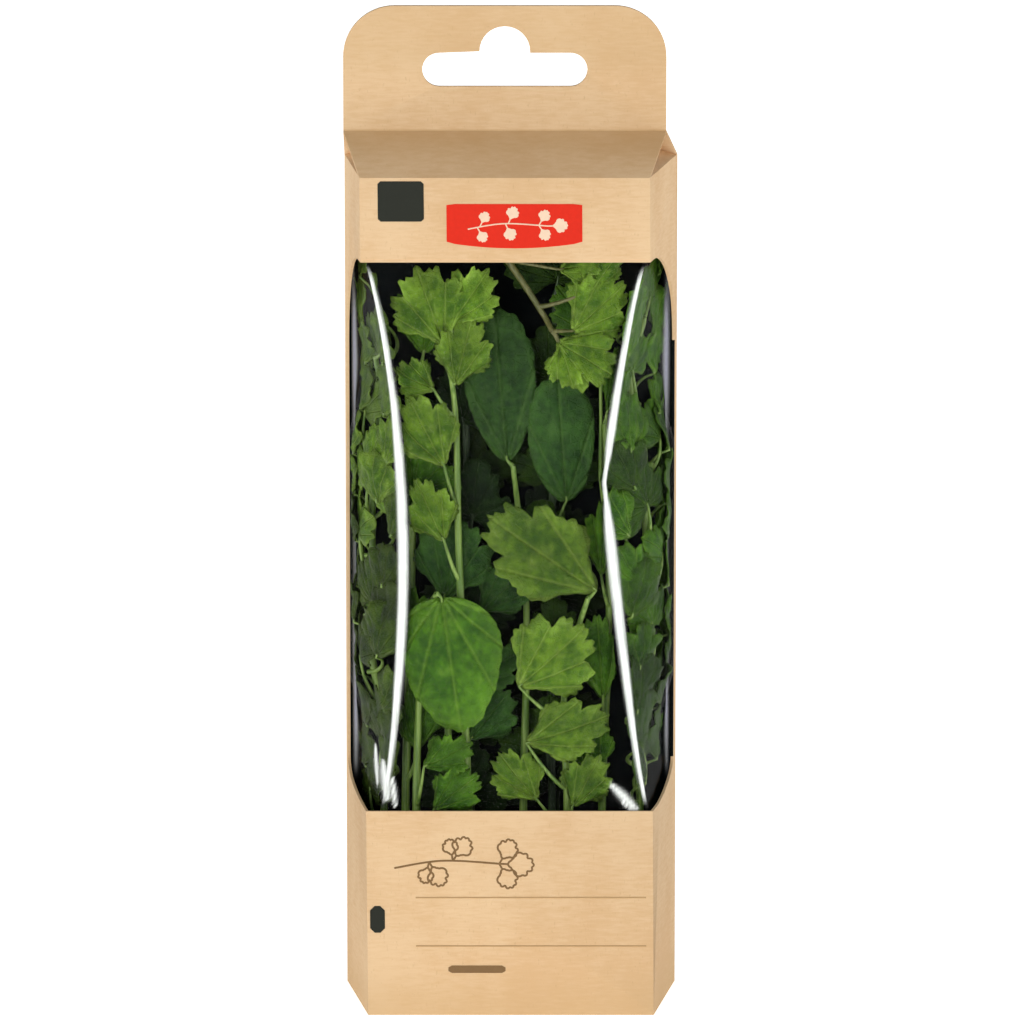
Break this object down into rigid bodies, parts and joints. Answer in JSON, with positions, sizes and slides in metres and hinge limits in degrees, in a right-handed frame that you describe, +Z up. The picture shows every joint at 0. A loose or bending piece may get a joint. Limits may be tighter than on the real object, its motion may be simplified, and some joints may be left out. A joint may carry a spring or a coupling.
{
  "type": "coriander bunch in a windowed carton",
  "caption": "Cut coriander stems packed upright in a slim kraft carton with a wraparound clear film window and a hanging header.",
  "frame": {"origin": "centre of the whole pack's footprint, on the surface that its flat bottom stands on", "axes": "+X to the right as seen from the front, +Y from the window side to the back panel, +Z up to the hanging header"},
  "size_m": [0.065, 0.0286, 0.1985],
  "materials": {
    "kraft_board": "uncoated kraft paperboard",
    "clear_film": "clear glossy film",
    "leaf_light": "fresh light green leaf",
    "leaf_mid": "fresh mid green leaf",
    "leaf_dark": "fresh dark green leaf"
  },
  "bodies": {
    "root": {"carton": "kraft_board", "window_film": "clear_film", "sprig_01": "leaf_light", "sprig_02": "leaf_light", "sprig_03": "leaf_light", "sprig_04": "leaf_mid", "sprig_05": "leaf_dark", "sprig_06": "leaf_dark", "sprig_07": "leaf_mid", "sprig_08": "leaf_mid", "sprig_09": "leaf_dark", "sprig_10": "leaf_mid", "sprig_11": "leaf_mid", "sprig_12": "leaf_dark", "sprig_13": "leaf_dark", "sprig_14": "leaf_mid", "sprig_15": "leaf_light", "sprig_16": "leaf_mid"}
  },
  "joints": []
}
